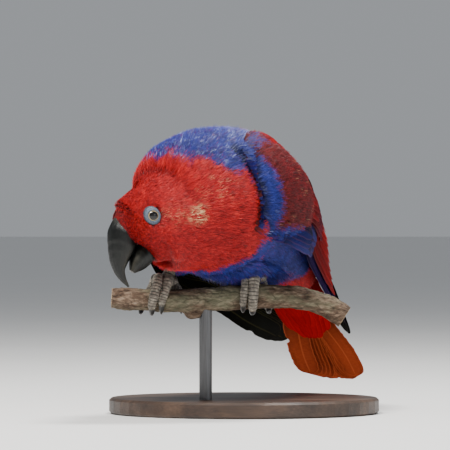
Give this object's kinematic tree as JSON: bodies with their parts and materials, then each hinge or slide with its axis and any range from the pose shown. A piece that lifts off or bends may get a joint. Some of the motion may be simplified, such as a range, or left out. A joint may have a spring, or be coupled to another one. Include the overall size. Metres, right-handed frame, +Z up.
{
  "type": "eclectus parrot model",
  "caption": "Life-size still model of a female eclectus parrot, hunched on a short branch with its head lowered and turned, held over a flat round base by one rod.",
  "frame": {"origin": "middle of the underside of the round base, at the height of the surface the part rests on", "axes": "+Z up; the branch runs along X; the tail points to +Y and the bird looks towards -Y and -X, so its left wing is on the +X side"},
  "size_m": [0.17, 0.2762, 0.1779],
  "materials": {
    "red_feathers": "soft matte feathers",
    "blue_feathers": "soft matte feathers",
    "maroon_feathers": "satin feathers",
    "tail_feathers": "satin feathers",
    "bill_horn": "satin horn",
    "eye_gloss": "glossy",
    "foot_skin": "dry scaled skin",
    "claw_horn": "satin horn",
    "bark": "rough bark",
    "stand_wood": "satin stained wood",
    "stand_metal": "satin dark metal"
  },
  "bodies": {
    "root": {"head": "red_feathers", "neck": "red_feathers", "torso": "blue_feathers", "rump": "red_feathers", "tail": "tail_feathers", "wing_left": "maroon_feathers", "wing_right": "maroon_feathers", "bill_upper": "bill_horn", "bill_lower": "bill_horn", "eye_left": "eye_gloss", "eye_right": "eye_gloss", "thigh_left": "blue_feathers", "thigh_right": "blue_feathers", "foot_left": "foot_skin", "foot_right": "foot_skin", "perch_branch": "bark", "stand_base": "stand_wood", "stand_rod": "stand_metal", "claw_left_inner": "claw_horn", "claw_left_middle": "claw_horn", "claw_left_outer_hind": "claw_horn", "claw_left_inner_hind": "claw_horn", "claw_right_inner": "claw_horn", "claw_right_middle": "claw_horn", "claw_right_outer_hind": "claw_horn", "claw_right_inner_hind": "claw_horn"}
  },
  "joints": []
}
